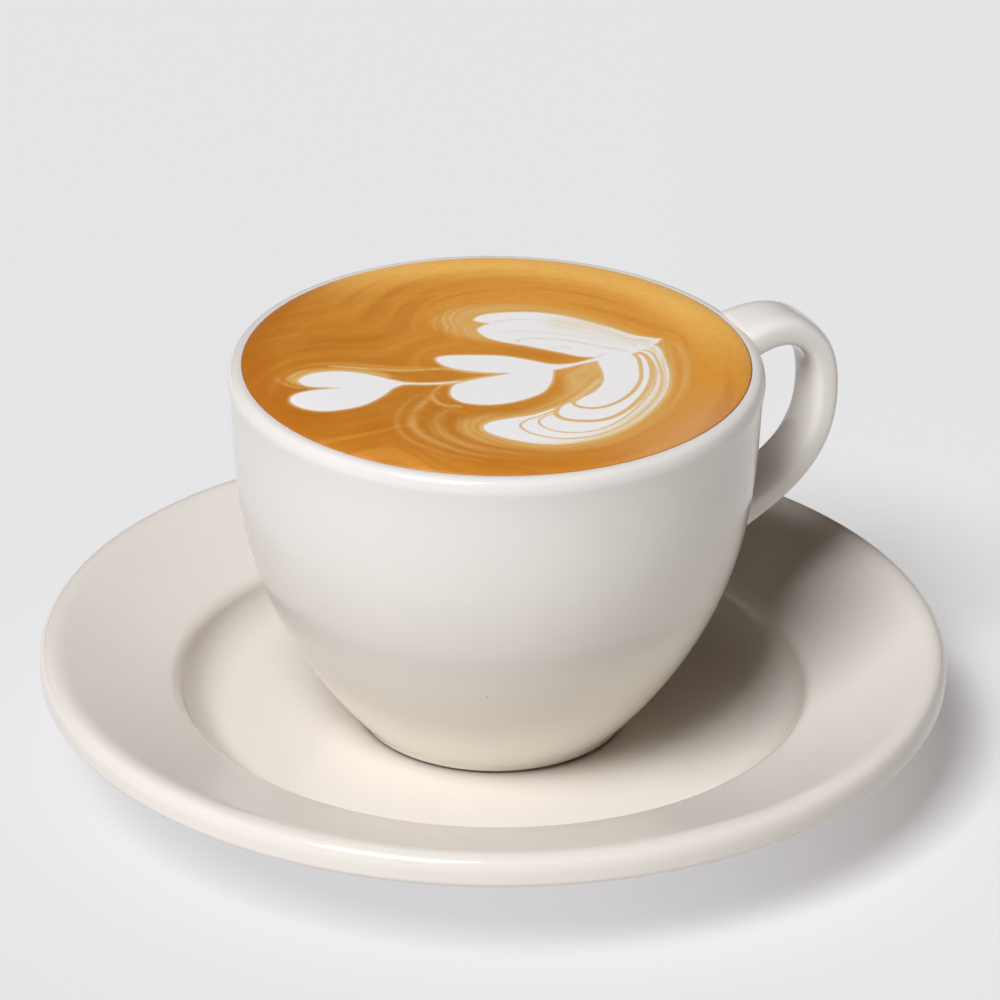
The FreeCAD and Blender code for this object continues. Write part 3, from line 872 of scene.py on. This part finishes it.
def creamed(shader, tone, streaks):
    """The tone with streaked cream blended into it."""
    streaked = shader.math("MULTIPLY_ADD", shader.step(streaks, 0.3, 0.7), 0.5, 0.55)
    blended = shader.math("MULTIPLY", shader.attribute("cream"), streaked, clamp=True)
    tone = shader.mix(shader.step(blended, 0.0, 0.8), tone, CREAM)
    return shader.mix(shader.step(blended, 0.6, 1.0), tone, CREAM_PALE)


def foamed(shader, tone, place, streaks):
    """The tone under foam with a pale fringe, and how far the foam covers it."""
    waves = shader.noise(place, FOAM_WAVES, 3)
    wavy = shader.math("MULTIPLY_ADD", waves, FOAM_WAVE_HEIGHT, shader.attribute("foam_edge"))
    fringe = shader.math("MULTIPLY", shader.step(wavy, *FRINGE_EDGE), FRINGE_STRENGTH)
    tone = shader.mix(fringe, tone, CREAM_PALE)
    streaked = shader.math("MULTIPLY_ADD", shader.step(streaks, 0.35, 0.62), 0.9, 0.2)
    thin = shader.math("MULTIPLY", shader.attribute("veil"), streaked, clamp=True)
    covered = shader.step(wavy, *FOAM_EDGE)
    return shader.mix(covered, tone, shader.mix(thin, FOAM, FOAM_THIN)), covered


def latte_material():
    """Crema with milk foam, cream and fine streaks drawn out along the lines of the pour, with painted light
    and shade.
    """
    shader = Shader("latte_art")
    place = shader.position()
    flow = shader.attribute("flow")
    streaks = shader.noise(shader.poured(flow, place, *STREAK_FINENESS), 1.0, 3, 0.6)
    mottle = shader.noise(place, MOTTLE, 5, 0.65)
    tone = painted_light(shader, crema_tone(shader, place, flow))
    dark_mottle = shader.math("MULTIPLY", shader.step(mottle, 0.55, 0.35), MOTTLE_STRENGTH)
    tone = creamed(shader, shader.mix(dark_mottle, tone, CREMA_DARK), streaks)
    tone, covered = foamed(shader, tone, place, streaks)
    bubbles = shader.dots(place, BUBBLE_SPACING, BUBBLE_RADIUS, BUBBLE_SHARE)
    open_crema = shader.math("SUBTRACT", BUBBLE_STRENGTH, covered, clamp=True)
    tone = shader.mix(shader.math("MULTIPLY", bubbles, open_crema), tone, SPECK)
    froth = shader.noise(place, FROTH_SIZE, 3, 0.6)
    shader.feed(shader.surface.inputs["Base Color"], tone)
    shader.feed(shader.surface.inputs["Roughness"],
                shader.math("MULTIPLY_ADD", mottle, MOTTLE_ROUGHNESS, DRINK_ROUGHNESS))
    shader.feed(shader.surface.inputs["Normal"], shader.bump(froth, FROTH_HEIGHT, FROTH_STRENGTH))
    shader.surface.inputs["IOR"].default_value = DRINK_IOR
    return shader.material


def make_drink():
    mesh = drink_mesh()
    places = art_places(mesh)
    store(mesh, "foam_edge", foam_edge(places))
    store(mesh, "cream", cream_strength(places))
    store(mesh, "veil", veil_strength(places))
    store(mesh, "flow", flow_line(places))
    store(mesh, "across", places[:, 0])
    store(mesh, "away", places[:, 1])
    store(mesh, "radius", np.hypot(places[:, 0], places[:, 1]))
    drink = bpy.data.objects.new("latte_drink", mesh)
    bpy.context.scene.collection.objects.link(drink)
    mesh.materials.append(latte_material())
    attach(drink, "root")
    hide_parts("latte")


# ---------------------------------------------------------------- floor and light

FLOOR_SIZE = 12.0
FLOOR_DROP = 0.02 * MM          # keeps it just clear of the saucer's foot
# The floor's colour and its own glow change from the cup's left to its right, along the art's own axis. That
# keeps the shadow pale in front and lets it be dark at the right.
FLOOR_CHANGE = (-0.01, 0.12)    # where the change starts and ends, in metres across
FLOOR_LEFT = (0.25, 0.245, 0.235, 1)
FLOOR_RIGHT = (0.70, 0.69, 0.665, 1)
FLOOR_GLOW = (0.98, 0.98, 1.02, 1)
FLOOR_GLOW_LEFT = 0.56
FLOOR_GLOW_CHANGE = -0.43

KEY_AZIMUTH = -55
KEY_ELEVATION = 52
KEY_DISTANCE = 60.0
KEY_SIZE = 27.6
KEY_POWER = 44100
KEY_TINT = (0.975, 0.99, 1.03)
WORLD_COLOUR = (1.0, 0.74, 0.5, 1)
WORLD_STRENGTH = 0.055


def floor_mesh():
    half = FLOOR_SIZE / 2
    corners = [(-half, -half, 0), (half, -half, 0), (half, half, 0), (-half, half, 0)]
    mesh = bpy.data.meshes.new("floor")
    mesh.from_pydata(corners, [], [(0, 1, 2, 3)])
    return mesh


def floor_material():
    shader = Shader("floor")
    x, y, _ = shader.split(shader.position())
    across = shader.math("ADD", shader.math("MULTIPLY", x, math.cos(ART_TURN)),
                         shader.math("MULTIPLY", y, -math.sin(ART_TURN)))
    right = shader.step(across, *FLOOR_CHANGE)
    glow = shader.math("MULTIPLY_ADD", right, FLOOR_GLOW_CHANGE, FLOOR_GLOW_LEFT)
    shader.feed(shader.surface.inputs["Base Color"], shader.mix(right, FLOOR_LEFT, FLOOR_RIGHT))
    shader.feed(shader.surface.inputs["Emission Strength"], glow)
    shader.surface.inputs["Emission Color"].default_value = FLOOR_GLOW
    shader.surface.inputs["Roughness"].default_value = 1.0
    shader.surface.inputs["Specular IOR Level"].default_value = 0.0
    return shader.material


def make_floor():
    mesh = floor_mesh()
    floor = bpy.data.objects.new("floor", mesh)
    floor.location.z = -FLOOR_DROP
    bpy.context.scene.collection.objects.link(floor)
    mesh.materials.append(floor_material())


def make_key():
    """A soft square of light that faces the cup."""
    data = bpy.data.lights.new("key", "AREA")
    data.shape = "RECTANGLE"
    data.size = KEY_SIZE
    data.size_y = KEY_SIZE
    data.energy = KEY_POWER
    data.color = KEY_TINT
    light = bpy.data.objects.new("key", data)
    back = view_direction(KEY_AZIMUTH, KEY_ELEVATION)
    light.matrix_world = (Matrix.Translation(CAMERA_AIM + back * KEY_DISTANCE)
                          @ back.to_track_quat("Z", "Y").to_matrix().to_4x4())
    bpy.context.scene.collection.objects.link(light)


def make_lights():
    make_key()
    world = bpy.data.worlds.new("studio")
    world.use_nodes = True
    background = world.node_tree.nodes["Background"]
    background.inputs["Color"].default_value = WORLD_COLOUR
    background.inputs["Strength"].default_value = WORLD_STRENGTH
    bpy.context.scene.world = world


make_camera()
make_floor()
make_lights()
make_saucer()
make_cup()
make_drink()

bpy.context.scene.view_settings.view_transform = "Standard"
